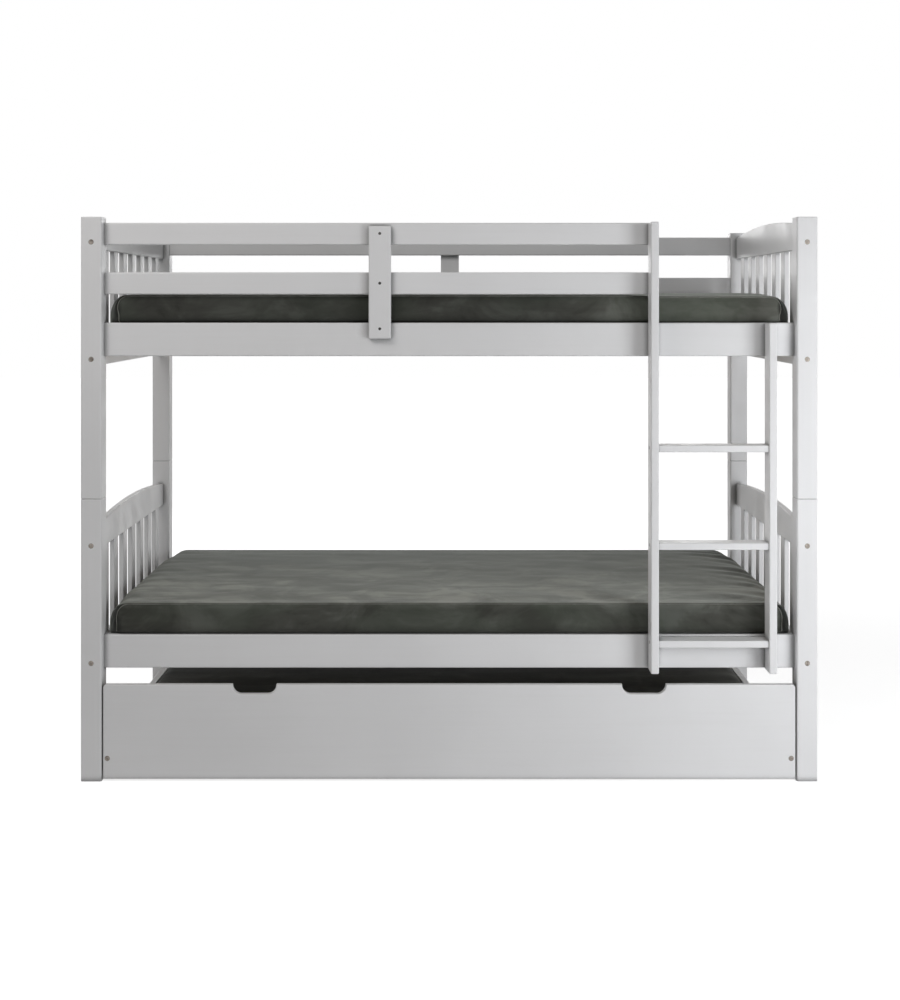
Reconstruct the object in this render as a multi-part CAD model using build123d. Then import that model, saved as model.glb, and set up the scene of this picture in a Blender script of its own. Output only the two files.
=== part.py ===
from build123d import *
import math
import os

# Bunk bed with a pull-out trundle, in millimetres. X runs along the bed, -Y is the ladder side and
# Z is up. The origin is on the floor, in the middle of the whole footprint, ladder included.

# Mattresses of the two bunks
mattress_length = 1880
mattress_width = 880
mattress_thickness = 130
mattress_crown = 4
mattress_corner_radius = 45
mattress_end_radius_share = 0.4
mattress_edge_radius_share = 0.12
mattress_draw_in = 3
mattress_end_gap = 8
mattress_side_gap = 2
soft_gap = 0.3
mattress_middle_shares = (-0.3, -0.15, 0, 0.15, 0.3)
end_turns = (0, 20, 45, 70, 90)

# Posts
post_side = 57
post_edge_radius = 5
post_joint_ease = 1.5
lower_panel_height = 303
upper_panel_height = 362
lower_post_above_panel = 77
upper_post_above_panel = 18

# End panels: a straight cross rail, an arched top rail and upright slats let into both
panel_board_thickness = 18
cross_rail_height = 70
panel_opening_height = 250
arch_rail_end_height = 70
arch_rise = 22
panel_edge_radius = 3
end_slat_count = 7
end_slat_width = 49
end_slat_thickness = 14
end_slat_pitch = 114.5
end_slat_edge_radius = 2
mortise_depth = 10
mortise_side_gap = 0.1
mortise_end_gap = 0.5

# Side rails, cleats and slatted decks
rail_thickness = 22
rail_setback = 30
rail_edge_radius = 4
side_rail_height = 92
lower_side_rail_height = 302
upper_side_rail_rise = 26.5
cleat_side = 25
cleat_rise = 3
deck_slat_count = 12
deck_slat_width = 60
deck_slat_thickness = 15
deck_end_margin = 24
deck_side_gap = 1

# Guard rails and braces of the upper bunk
guard_rail_height = 60.5
guard_rail_gap = 75.5
guard_rail_drop = 15
brace_width = 61
brace_thickness = 18
brace_edge_radius = 4
brace_top_drop = 9.3
brace_bottom_overlap = 44

# Ladder
stile_thickness = 22
stile_depth = 60
stile_edge_radius = 4
stile_foot_drop = 2
ladder_width = 342
ladder_end_gap = 60
tread_count = 3
tread_thickness = 19
tread_setback = 5
tread_pitch = 265
tread_edge_radius = 3
lowest_tread_rise = 89

# Trundle
trundle_end_gap = 3
trundle_face_setback = 3
trundle_floor_gap = 6
trundle_panel_height = 257
trundle_board_thickness = 18
trundle_panel_corner_radius = 9
trundle_panel_edge_radius = 2.5
notch_offset = 532
notch_width = 120
notch_depth = 26
notch_corner_radius = 25
end_board_thickness = 20
end_board_height = 70
end_board_setback = 2
end_board_bolt_share = 0.3
end_board_dowel_shares = (0.6, 0.85)
rear_board_floor_gap = 24
trundle_cleat_side = 20
trundle_slat_count = 11
trundle_slat_thickness = 12
trundle_mattress_width = 780
trundle_mattress_thickness = 100
trundle_mattress_side_gap = 5
trundle_mattress_end_gap = 20

# Castors
wheel_radius = 18
wheel_width = 13
wheel_edge_radius = 2.5
wheel_side_gap = 1.5
wheel_top_gap = 3
hub_radius = 7
hub_recess = 2.5
rim_thickness = 5
castor_plate_length = 52
castor_plate_thickness = 2
castor_cheek_radius = 9
castor_inset = 60
castor_axle_radius = 3
castor_axle_gap = 0.05
axle_head_radius = 5
axle_head_thickness = 1.5

# Bolts with barrel nuts
bolt_radius = 3
bolt_head_radius = 6.8
bolt_head_thickness = 2.6
bolt_head_recess = 0.4
bolt_socket_width = 4
bolt_socket_depth = 1.8
bolt_bore_gap = 0.25
bolt_head_gap = 0.4
bolt_tip = 6
nut_radius = 5
nut_length = 12
nut_inset = 25
nut_gap = 0.05
panel_bolt_rise = 19

# Wooden dowels and post pins
dowel_radius = 4
dowel_half_length = 20
dowel_gap = 0.05
dowel_end_gap = 0.5
dowel_ease_share = 0.2
panel_dowel_rise_share = 0.8
side_rail_dowel_share = 0.3
guard_dowel_share = 0.3
tread_dowel_share = 0.3
tread_dowel_bite_share = 0.5
post_pin_radius = 5
post_pin_half_length = 40

# Countersunk wood screws
screw_radius = 2
screw_head_radius = 4
screw_head_depth = 2.4
screw_gap = 0.05
screw_end_gap = 0.5
screw_tip_length = 4
screw_slot_width = 0.9
screw_slot_depth = 1.2
screw_slot_length = 4.4
screw_bite_share = 0.6
tread_screw_radius = 3
tread_screw_head_radius = 5
tread_screw_head_depth = 3
tread_screw_bite = 31
brace_low_screw_rise = 27.5
stile_screw_shares = (0.25, 0.75)
guard_screw_shares = (-0.25, 0.25)
cleat_screw_shares = (-0.455, -0.273, -0.091, 0.091, 0.273, 0.455)
castor_screw_share = 0.4
castor_screw_bite_share = 0.4
trundle_cleat_screw_shares = (-0.45, -0.15, 0.15, 0.45)

# Cutters run on past the surface that they open
overrun = 1

# Overall places worked out from the sizes above
bolt_seat = bolt_head_recess + bolt_head_thickness
inner_length = mattress_length + 2 * mattress_end_gap
inner_width = mattress_width + 2 * mattress_side_gap
bed_length = inner_length + 2 * post_side
bed_depth = inner_width + 2 * (rail_thickness + rail_setback)
ladder_proud = stile_depth - rail_setback
bed_centre_y = ladder_proud / 2
post_centre_x = (bed_length - post_side) / 2
post_offset_y = (bed_depth - post_side) / 2
panel_height = cross_rail_height + panel_opening_height + arch_rail_end_height
lower_post_length = lower_panel_height + panel_height + lower_post_above_panel
upper_post_length = upper_panel_height + panel_height + upper_post_above_panel
post_top = lower_post_length + upper_post_length
guard_top = post_top - guard_rail_drop
guard_levels = {
    "top": guard_top - guard_rail_height,
    "middle": guard_top - guard_rail_gap - 2 * guard_rail_height,
}
bunks = ("lower", "upper")
sides = {"left": -1, "right": 1}
rows = {"front": -1, "rear": 1}
post_bottom = {"lower": 0, "upper": lower_post_length}
post_length = {"lower": lower_post_length, "upper": upper_post_length}
panel_bottom = {"lower": lower_panel_height, "upper": lower_post_length + upper_panel_height}
side_rail_bottom = {
    "lower": lower_side_rail_height,
    "upper": lower_post_length + upper_panel_height + upper_side_rail_rise,
}
right_stile_x = inner_length / 2 - ladder_end_gap - stile_thickness / 2
left_stile_x = right_stile_x - ladder_width + stile_thickness
stile_x = {"left": left_stile_x, "right": right_stile_x}
front_guard_end_x = left_stile_x + stile_thickness / 2
guard_end_x = {"front": front_guard_end_x, "rear": inner_length / 2}
stile_bottom = lower_side_rail_height - stile_foot_drop
stile_top = {"left": guard_top, "right": side_rail_bottom["upper"] + side_rail_height}


def slab(x_ends, y_ends, z_ends):
    """A plain block between two places on each axis, given in either order."""
    spans = [(min(ends), max(ends)) for ends in (x_ends, y_ends, z_ends)]
    sizes = [high - low for low, high in spans]
    centre = [(low + high) / 2 for low, high in spans]
    return Pos(*centre) * Box(*sizes)


def eased(solid, axis, radius):
    """The solid with its edges along one axis rounded."""
    return fillet(solid.edges().filter_by(axis), radius)


def eased_all(solid, radius):
    """The solid with every edge rounded."""
    return fillet(solid.edges(), radius)


def aimed(place, direction, turn=None):
    """A location at a place, with its own Z along a direction and its own X along turn."""
    return Plane(origin=place, x_dir=turn, z_dir=direction).location


def rod(radius, start, end):
    """A cylinder on the local Z axis between two heights."""
    return Pos(0, 0, (start + end) / 2) * Cylinder(radius, end - start)


def rail_outer_y(row):
    """The outer face of the side rails and guard rails in a row."""
    return bed_centre_y + row * (bed_depth / 2 - rail_setback)


def rail_inner_y(row):
    """The inner face of the side rails and guard rails in a row."""
    return rail_outer_y(row) - row * rail_thickness


def rail_middle_y(row):
    """The middle of the thickness of the rails in a row."""
    return rail_outer_y(row) - row * rail_thickness / 2


# Fasteners, each lying on its own Z axis with the surface that it enters at zero


def bolt(reach):
    """A flat-headed bolt with a hexagon socket, its head just below the surface."""
    solid = rod(bolt_head_radius, bolt_head_recess, bolt_seat)
    solid += rod(bolt_radius, bolt_seat, reach)
    socket = extrude(RegularPolygon(bolt_socket_width / 2, 6, major_radius=False), bolt_socket_depth)
    return solid - Pos(0, 0, bolt_head_recess) * socket


def bolt_bore(reach):
    """The counterbore and the clearance hole of a bolt."""
    bore = rod(bolt_head_radius + bolt_head_gap, -overrun, bolt_seat)
    return bore + rod(bolt_radius + bolt_bore_gap, 0, reach + screw_end_gap)


def barrel_nut():
    """A cross dowel nut, its barrel along the local X axis."""
    barrel = Rot(0, 90, 0) * Cylinder(nut_radius, nut_length)
    return barrel - Cylinder(bolt_radius + nut_gap, 2 * nut_length)


def nut_pocket(board_thickness):
    """The blind hole that a barrel nut is dropped into, open on the local +X side."""
    mouth = board_thickness / 2 + overrun
    return Rot(0, 90, 0) * rod(nut_radius + nut_gap, -nut_length / 2, mouth)


def dowel(radius, low, high):
    """A dowel with eased ends."""
    solid = rod(radius, low, high)
    return chamfer(solid.edges().filter_by(GeomType.CIRCLE), radius * dowel_ease_share)


def screw(shank_radius, head_radius, head_depth, length):
    """A countersunk screw with a cross slot and a pointed tip."""
    outline = Polyline(
        (0, 0),
        (head_radius, 0),
        (shank_radius, head_depth),
        (shank_radius, length - screw_tip_length),
        (0, length),
        close=True,
    )
    solid = revolve(Plane.XZ * make_face(outline), Axis.Z)
    slot = Box(screw_slot_length, screw_slot_width, 2 * screw_slot_depth)
    return solid - slot - Rot(0, 0, 90) * slot


def screw_bore(shank_radius, head_radius, head_depth, length):
    """The hole of a countersunk screw."""
    outline = Polyline(
        (0, -overrun),
        (head_radius + screw_gap, -overrun),
        (head_radius + screw_gap, 0),
        (shank_radius + screw_gap, head_depth),
        (shank_radius + screw_gap, length + screw_end_gap),
        (0, length + screw_end_gap),
        close=True,
    )
    return revolve(Plane.XZ * make_face(outline), Axis.Z)


class Kit:
    """The fasteners of one body and the holes that they need, collected as they are placed."""

    def __init__(self):
        self.pieces = {}
        self.bores = []

    def put(self, group, piece):
        self.pieces.setdefault(group, []).append(piece)

    def add_bolt(self, place, direction, nut_side, through, board_thickness):
        """A bolt through one piece into a board, where its nut is dropped in from nut_side."""
        spot = aimed(place, direction, nut_side)
        nut_spot = spot * Pos(0, 0, through + nut_inset)
        reach = through + nut_inset + bolt_tip
        self.put("bolts", spot * bolt(reach))
        self.put("nuts", nut_spot * barrel_nut())
        self.bores.append(spot * bolt_bore(reach))
        self.bores.append(nut_spot * nut_pocket(board_thickness))

    def add_dowel(self, place, direction, bite_before=dowel_half_length):
        """A dowel across a joint: bite_before of it lies behind the place, the rest ahead."""
        spot = aimed(place, direction)
        bite_after = 2 * dowel_half_length - bite_before
        self.put("dowels", spot * dowel(dowel_radius, -bite_before, bite_after))
        bore = rod(dowel_radius + dowel_gap, -bite_before - dowel_end_gap, bite_after + dowel_end_gap)
        self.bores.append(spot * bore)

    def add_screw(self, place, direction, length):
        """A small countersunk screw from a surface."""
        spot = aimed(place, direction)
        sizes = (screw_radius, screw_head_radius, screw_head_depth, length)
        self.put("screws", spot * screw(*sizes))
        self.bores.append(spot * screw_bore(*sizes))

    def add_tread_screw(self, place, direction):
        """The larger screw that holds a tread's end."""
        spot = aimed(place, direction)
        length = stile_thickness + tread_screw_bite
        sizes = (tread_screw_radius, tread_screw_head_radius, tread_screw_head_depth, length)
        self.put("screws", spot * screw(*sizes))
        self.bores.append(spot * screw_bore(*sizes))

    def drill(self, solid):
        """The solid with every bore that reaches into it cut out."""
        box = solid.bounding_box()
        near = [bore for bore in self.bores if boxes_meet(box, bore.bounding_box())]
        return solid - near if near else solid


def boxes_meet(first, second):
    """Whether two bounding boxes share any space."""
    lows = (max(first.min.X, second.min.X), max(first.min.Y, second.min.Y), max(first.min.Z, second.min.Z))
    highs = (min(first.max.X, second.max.X), min(first.max.Y, second.max.Y), min(first.max.Z, second.max.Z))
    return all(low < high for low, high in zip(lows, highs))


frame_kit = Kit()
trundle_kit = Kit()


# Places of the frame's fasteners


def place_panel_fasteners(bunk, side, row):
    """Bolts and dowels that hold the end panel's two rails to one post, along Y."""
    outer_y = bed_centre_y + row * bed_depth / 2
    joint_y = outer_y - row * post_side
    arch_bottom = panel_bottom[bunk] + cross_rail_height + panel_opening_height
    board_heights = ((panel_bottom[bunk], cross_rail_height), (arch_bottom, arch_rail_end_height))
    x = side * post_centre_x
    for bottom, height in board_heights:
        bolt_place = (x, outer_y, bottom + panel_bolt_rise)
        frame_kit.add_bolt(bolt_place, (0, -row, 0), (side, 0, 0), post_side, panel_board_thickness)
        dowel_place = (x, joint_y, bottom + height * panel_dowel_rise_share)
        frame_kit.add_dowel(dowel_place, (0, -row, 0))


def place_rail_fasteners(bunk, side, row):
    """The bolt and two dowels that hold a side rail to one post, along X."""
    middle = side_rail_bottom[bunk] + side_rail_height / 2
    y = rail_middle_y(row)
    bolt_place = (side * bed_length / 2, y, middle)
    frame_kit.add_bolt(bolt_place, (-side, 0, 0), (0, -row, 0), post_side, rail_thickness)
    for up in (-1, 1):
        z = middle + up * side_rail_height * side_rail_dowel_share
        frame_kit.add_dowel((side * inner_length / 2, y, z), (-side, 0, 0))


def place_guard_fasteners(bottom, side, row):
    """The bolt and the dowel that hold a guard rail to one post, along X. The nut's hole faces rearwards."""
    middle = bottom + guard_rail_height / 2
    y = rail_middle_y(row)
    bolt_place = (side * bed_length / 2, y, middle)
    frame_kit.add_bolt(bolt_place, (-side, 0, 0), (0, 1, 0), post_side, rail_thickness)
    dowel_z = middle + guard_rail_height * guard_dowel_share
    frame_kit.add_dowel((side * inner_length / 2, y, dowel_z), (-side, 0, 0))


def place_brace_screws(row):
    """Three screws that hold a guard brace to the two guard rails and the side rail."""
    x = brace_x(row)
    y = rail_outer_y(row) + row * brace_thickness
    length = brace_thickness + rail_thickness * screw_bite_share
    heights = [bottom + guard_rail_height / 2 for bottom in guard_levels.values()]
    heights.append(brace_ends()[0] + brace_low_screw_rise)
    for z in heights:
        frame_kit.add_screw((x, y, z), (0, -row, 0), length)


def place_stile_screws():
    """Screws from the inner faces of the side rails and guard rails into the ladder's stiles."""
    y = rail_inner_y(rows["front"])
    length = rail_thickness + stile_depth * screw_bite_share
    cleat_top = cleat_rise + cleat_side
    tread_bottom = lowest_tread_rise - tread_thickness - stile_foot_drop
    for x in stile_x.values():
        for bottom in side_rail_bottom.values():
            for share in stile_screw_shares:
                z = bottom + cleat_top + (tread_bottom - cleat_top) * share
                frame_kit.add_screw((x, y, z), (0, -1, 0), length)
    for bottom in guard_levels.values():
        for share in guard_screw_shares:
            z = bottom + guard_rail_height / 2 + guard_rail_height * share
            frame_kit.add_screw((stile_x["left"], y, z), (0, -1, 0), length)


def place_tread_fasteners(index):
    """A screw and two dowels in each end of a tread."""
    middle_z = tread_top(index) - tread_thickness / 2
    front_y, rear_y = tread_ends_y()
    middle_y = (front_y + rear_y) / 2
    bite = stile_thickness * tread_dowel_bite_share
    for name, side in sides.items():
        outer_x = stile_x[name] + side * stile_thickness / 2
        inner_x = stile_x[name] - side * stile_thickness / 2
        frame_kit.add_tread_screw((outer_x, middle_y, middle_z), (-side, 0, 0))
        for along in (-1, 1):
            y = middle_y + along * (rear_y - front_y) * tread_dowel_share
            frame_kit.add_dowel((inner_x, y, middle_z), (-side, 0, 0), bite)


def place_deck_screws(bunk):
    """Screws through the cleats into the side rails, and through the slats into the cleats."""
    cleat_length = rail_thickness * screw_bite_share + cleat_side
    slat_length = cleat_side * screw_bite_share + deck_slat_thickness
    cleat_z = side_rail_bottom[bunk] + cleat_rise + cleat_side / 2
    for row in rows.values():
        inner_y = rail_inner_y(row)
        for share in cleat_screw_shares:
            place = (share * inner_length, inner_y - row * cleat_side, cleat_z)
            frame_kit.add_screw(place, (0, row, 0), cleat_length)
        for x in deck_slat_places(deck_slat_count, inner_length):
            place = (x, inner_y - row * cleat_side / 2, deck_top(bunk))
            frame_kit.add_screw(place, (0, 0, -1), slat_length)


def place_frame_fasteners():
    """Every fastener of the standing frame."""
    for bunk in bunks:
        for side in sides.values():
            for row in rows.values():
                place_panel_fasteners(bunk, side, row)
                place_rail_fasteners(bunk, side, row)
        place_deck_screws(bunk)
    for bottom in guard_levels.values():
        place_guard_fasteners(bottom, sides["left"], rows["front"])
        place_guard_fasteners(bottom, sides["left"], rows["rear"])
        place_guard_fasteners(bottom, sides["right"], rows["rear"])
    for row in rows.values():
        place_brace_screws(row)
    place_stile_screws()
    for index in range(tread_count):
        place_tread_fasteners(index)


# Pieces of the standing frame


def post(bunk, side, row):
    """One post, eased along its height, at its joint and round its free top, with its pin holes."""
    x = side * post_centre_x
    y = bed_centre_y + row * post_offset_y
    bottom = post_bottom[bunk]
    top = bottom + post_length[bunk]
    half = post_side / 2
    solid = slab((x - half, x + half), (y - half, y + half), (bottom, top))
    solid = eased(solid, Axis.Z, post_edge_radius)
    joint_face = solid.faces().sort_by(Axis.Z)[0 if bunk == "upper" else -1]
    solid = chamfer(joint_face.edges(), post_joint_ease)
    if bunk == "upper":
        solid = fillet(solid.faces().sort_by(Axis.Z)[-1].edges(), post_edge_radius / 2)
    pin_reach = post_pin_half_length + dowel_end_gap
    joint = lower_post_length
    pin_hole = Pos(x, y, joint) * rod(post_pin_radius + dowel_gap, -pin_reach, pin_reach)
    return frame_kit.drill(solid - pin_hole)


def post_pins():
    """The pins between the lower and the upper posts."""
    pin = dowel(post_pin_radius, -post_pin_half_length, post_pin_half_length)
    return [
        Pos(side * post_centre_x, bed_centre_y + row * post_offset_y, lower_post_length) * pin
        for side in sides.values()
        for row in rows.values()
    ]


def panel_ends_y():
    """Where the end panels' rails meet the front and the rear posts."""
    reach = bed_depth / 2 - post_side
    return bed_centre_y - reach, bed_centre_y + reach


def end_slat_places():
    """The places of the end slats along Y."""
    first = bed_centre_y - end_slat_pitch * (end_slat_count - 1) / 2
    return [first + index * end_slat_pitch for index in range(end_slat_count)]


def mortise_cutters(x, face_z, up):
    """The slots that take the slats' ends, opened from a rail's face at face_z."""
    half_x = end_slat_thickness / 2 + mortise_side_gap
    half_y = end_slat_width / 2 + mortise_side_gap
    end_gap = mortise_end_gap if up > 0 else 0
    heights = (face_z - up * overrun, face_z + up * (mortise_depth + end_gap))
    return [slab((x - half_x, x + half_x), (y - half_y, y + half_y), heights) for y in end_slat_places()]


def cross_rail(bunk, side):
    """The straight lower rail of an end panel."""
    x = side * post_centre_x
    half = panel_board_thickness / 2
    bottom = panel_bottom[bunk]
    top = bottom + cross_rail_height
    solid = slab((x - half, x + half), panel_ends_y(), (bottom, top))
    solid = eased(solid, Axis.Y, panel_edge_radius)
    return frame_kit.drill(solid - mortise_cutters(x, top, -1))


def arch_rail(bunk, side):
    """The upper rail of an end panel, with its gently arched top."""
    x = side * post_centre_x
    front_y, rear_y = panel_ends_y()
    bottom = panel_bottom[bunk] + cross_rail_height + panel_opening_height
    end_top = bottom + arch_rail_end_height
    outline = Polyline((front_y, end_top), (front_y, bottom), (rear_y, bottom), (rear_y, end_top))
    outline += ThreePointArc((rear_y, end_top), (bed_centre_y, end_top + arch_rise), (front_y, end_top))
    solid = extrude(Plane.YZ * make_face(outline), panel_board_thickness / 2, both=True)
    ends = solid.faces().filter_by(Axis.Y)
    long_edges = solid.edges().filter_by(Axis.X, reverse=True) - ends.edges()
    solid = Pos(x, 0, 0) * fillet(long_edges, panel_edge_radius)
    return frame_kit.drill(solid - mortise_cutters(x, bottom, 1))


def end_slats(bunk, side):
    """The upright slats of an end panel, seated on the bottoms of their lower slots."""
    x = side * post_centre_x
    half_x = end_slat_thickness / 2
    half_y = end_slat_width / 2
    bottom = panel_bottom[bunk] + cross_rail_height - mortise_depth
    top = bottom + panel_opening_height + 2 * mortise_depth
    slats = [slab((x - half_x, x + half_x), (y - half_y, y + half_y), (bottom, top)) for y in end_slat_places()]
    return [eased(slat, Axis.Z, end_slat_edge_radius) for slat in slats]


def long_rail(row, left_x, right_x, bottom, height):
    """A side rail or guard rail between two places along X, eased along its length."""
    y_ends = (rail_outer_y(row), rail_inner_y(row))
    solid = slab((left_x, right_x), y_ends, (bottom, bottom + height))
    return frame_kit.drill(eased(solid, Axis.X, rail_edge_radius))


def side_rail(bunk, row):
    """A side rail between two posts."""
    half = inner_length / 2
    return long_rail(row, -half, half, side_rail_bottom[bunk], side_rail_height)


def guard_rail(level, row_name):
    """A guard rail: to the ladder's left stile at the front, from post to post at the rear."""
    bottom = guard_levels[level]
    return long_rail(rows[row_name], -inner_length / 2, guard_end_x[row_name], bottom, guard_rail_height)


def cleats(bunk):
    """The two cleats that carry a bunk's slats."""
    bottom = side_rail_bottom[bunk] + cleat_rise
    half = inner_length / 2
    pieces = []
    for row in rows.values():
        inner_y = rail_inner_y(row)
        y_ends = (inner_y, inner_y - row * cleat_side)
        pieces.append(frame_kit.drill(slab((-half, half), y_ends, (bottom, bottom + cleat_side))))
    return pieces


def deck_top(bunk):
    """The height of the upper face of a bunk's slats."""
    return side_rail_bottom[bunk] + cleat_rise + cleat_side + deck_slat_thickness


def deck_slat_places(count, length):
    """The places of deck slats along X, spread evenly between the two end margins."""
    first = -length / 2 + deck_end_margin + deck_slat_width / 2
    pitch = -2 * first / (count - 1)
    return [first + index * pitch for index in range(count)]


def deck_slats(bunk):
    """The slats under a bunk's mattress."""
    top = deck_top(bunk)
    half_y = inner_width / 2 - deck_side_gap
    half_x = deck_slat_width / 2
    y_ends = (bed_centre_y - half_y, bed_centre_y + half_y)
    z_ends = (top - deck_slat_thickness, top)
    places = deck_slat_places(deck_slat_count, inner_length)
    return [frame_kit.drill(slab((x - half_x, x + half_x), y_ends, z_ends)) for x in places]


def brace_x(row):
    """The middle of a row's guard rails along X."""
    row_name = "front" if row < 0 else "rear"
    return (guard_end_x[row_name] - inner_length / 2) / 2


def brace_ends():
    """The lower and upper ends of a guard brace."""
    side_rail_top = side_rail_bottom["upper"] + side_rail_height
    return side_rail_top - brace_bottom_overlap, guard_top - brace_top_drop


def guard_brace(row):
    """The upright board that ties the guard rails to the side rail, on their outer faces."""
    x = brace_x(row)
    half = brace_width / 2
    outer_y = rail_outer_y(row)
    solid = slab((x - half, x + half), (outer_y, outer_y + row * brace_thickness), brace_ends())
    shown = solid.faces().sort_by(Axis.Y)[0 if row < 0 else -1]
    uprights = solid.edges().filter_by(Axis.Y)
    return frame_kit.drill(fillet(shown.edges() + uprights, brace_edge_radius))


# Ladder


def stile_ends_y():
    """The front and the rear of the ladder's stiles."""
    rear_y = rail_outer_y(rows["front"])
    return rear_y - stile_depth, rear_y


def tread_ends_y():
    """The front and the rear of the treads."""
    front_y, rear_y = stile_ends_y()
    return front_y + tread_setback, rear_y


def tread_top(index):
    """The height of the standing face of a tread, counted from the lowest."""
    return stile_bottom + lowest_tread_rise + index * tread_pitch


def ladder_stile(name):
    """One upright of the ladder. The left one runs on to end the guard rails."""
    half = stile_thickness / 2
    x = stile_x[name]
    solid = slab((x - half, x + half), stile_ends_y(), (stile_bottom, stile_top[name]))
    return frame_kit.drill(eased_all(solid, stile_edge_radius))


def ladder_tread(index):
    """One tread between the two stiles."""
    half = stile_thickness / 2
    top = tread_top(index)
    x_ends = (stile_x["left"] + half, stile_x["right"] - half)
    solid = slab(x_ends, tread_ends_y(), (top - tread_thickness, top))
    return frame_kit.drill(eased(solid, Axis.X, tread_edge_radius))


# Mattresses


def round_inset(radius, distance):
    """How far a rounded edge lies inside its corner, at a distance from the end."""
    short = max(radius - distance, 0)
    return radius - math.sqrt(radius**2 - short**2)


def cushion_section(x, length, width, thickness):
    """The outline across a mattress at a place along it."""
    distance = length / 2 - abs(x)
    draw_in = mattress_draw_in * (1 - (2 * x / length) ** 2)
    half = width / 2 - draw_in - round_inset(mattress_corner_radius, distance)
    edge_radius = thickness * mattress_edge_radius_share
    bottom = round_inset(edge_radius, distance)
    top = thickness - round_inset(thickness * mattress_end_radius_share, distance)
    shoulder = top - mattress_crown
    outline = Polyline((-half, shoulder), (-half, bottom), (half, bottom), (half, shoulder))
    outline += ThreePointArc((half, shoulder), (0, top), (-half, shoulder))
    face = make_face(outline)
    return Plane.YZ.offset(x) * fillet(face.vertices(), edge_radius)


def cushion(length, width, thickness):
    """A mattress on its own origin: crowned, drawn in between its corners, with rounded ends."""
    end_radius = thickness * mattress_end_radius_share
    distances = [end_radius * (1 - math.cos(math.radians(turn))) for turn in end_turns]
    end_places = [length / 2 - distance for distance in distances]
    middle_places = [share * length for share in mattress_middle_shares]
    places = [-x for x in end_places] + middle_places + end_places[::-1]
    return loft([cushion_section(x, length, width, thickness) for x in places], ruled=True)


def mattress(bunk):
    """The mattress of a bunk, lying on its slats."""
    shape = cushion(mattress_length, mattress_width, mattress_thickness)
    return Pos(0, bed_centre_y, deck_top(bunk) + soft_gap) * shape


# Trundle

trundle_front_y = bed_centre_y - bed_depth / 2 + trundle_face_setback
trundle_depth = trundle_mattress_width + 2 * trundle_mattress_side_gap
trundle_inner_y = {"front": trundle_front_y + trundle_board_thickness}
trundle_inner_y["rear"] = trundle_inner_y["front"] + trundle_depth
trundle_length = inner_length - 2 * trundle_end_gap
end_board_x = trundle_length / 2 - end_board_setback - end_board_thickness / 2
trundle_inner_length = 2 * end_board_x - end_board_thickness
castor_plate_bottom = 2 * wheel_radius + wheel_top_gap
end_board_bottom = castor_plate_bottom + castor_plate_thickness
end_board_top = end_board_bottom + end_board_height
trundle_cleat_top = rear_board_floor_gap + trundle_cleat_side
trundle_deck_top = trundle_cleat_top + trundle_slat_thickness
castor_width = wheel_width + 2 * (wheel_side_gap + castor_plate_thickness)
castor_y = {
    "front": trundle_inner_y["front"] + castor_inset,
    "rear": trundle_inner_y["rear"] - castor_inset,
}


def place_trundle_corner(side, row_name):
    """A bolt and two dowels between a cross board and an end board, along Y."""
    row = rows[row_name]
    inner_y = trundle_inner_y[row_name]
    x = side * end_board_x
    bolt_z = end_board_bottom + end_board_height * end_board_bolt_share
    bolt_place = (x, inner_y + row * trundle_board_thickness, bolt_z)
    sizes = (trundle_board_thickness, end_board_thickness)
    trundle_kit.add_bolt(bolt_place, (0, -row, 0), (-side, 0, 0), *sizes)
    for share in end_board_dowel_shares:
        dowel_place = (x, inner_y, end_board_bottom + end_board_height * share)
        trundle_kit.add_dowel(dowel_place, (0, -row, 0), trundle_board_thickness * tread_dowel_bite_share)


def place_trundle_deck_screws(row_name):
    """Screws through a trundle cleat into its board, and through the slats into the cleat."""
    row = rows[row_name]
    inner_y = trundle_inner_y[row_name]
    cleat_z = rear_board_floor_gap + trundle_cleat_side / 2
    cleat_length = trundle_cleat_side + trundle_board_thickness * screw_bite_share
    for share in trundle_cleat_screw_shares:
        place = (share * trundle_inner_length, inner_y - row * trundle_cleat_side, cleat_z)
        trundle_kit.add_screw(place, (0, row, 0), cleat_length)
    slat_length = trundle_slat_thickness + trundle_cleat_side * screw_bite_share
    for x in deck_slat_places(trundle_slat_count, trundle_inner_length):
        place = (x, inner_y - row * trundle_cleat_side / 2, trundle_deck_top)
        trundle_kit.add_screw(place, (0, 0, -1), slat_length)


def place_castor_screws(side, row_name):
    """Two screws up through a castor's plate into its end board."""
    length = end_board_height * castor_screw_bite_share
    for along in (-1, 1):
        y = castor_y[row_name] + along * castor_plate_length * castor_screw_share
        trundle_kit.add_screw((side * end_board_x, y, castor_plate_bottom), (0, 0, 1), length)


def place_trundle_fasteners():
    """Every fastener of the trundle."""
    for row_name in rows:
        for side in sides.values():
            place_trundle_corner(side, row_name)
            place_castor_screws(side, row_name)
        place_trundle_deck_screws(row_name)


def hand_notch(x, top):
    """The cutter of a hand notch, open at the panel's top, with rounded lower corners."""
    size = Rectangle(notch_width, 2 * notch_depth)
    shape = fillet(size.vertices().sort_by(Axis.Y)[:2], notch_corner_radius)
    return Pos(x, top) * shape


def trundle_front_panel():
    """The panel that shows under the lower bunk, with its two hand notches."""
    top = trundle_floor_gap + trundle_panel_height
    face = Pos(0, (trundle_floor_gap + top) / 2) * Rectangle(trundle_length, trundle_panel_height)
    face = fillet(face.vertices().sort_by(Axis.Y)[-2:], trundle_panel_corner_radius)
    face -= [hand_notch(-notch_offset, top), hand_notch(notch_offset, top)]
    solid = extrude(Plane.XZ * face, trundle_board_thickness)
    rims = solid.faces().filter_by(Axis.Y).edges()
    solid = fillet(rims, trundle_panel_edge_radius)
    return trundle_kit.drill(Pos(0, trundle_inner_y["front"], 0) * solid)


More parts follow.
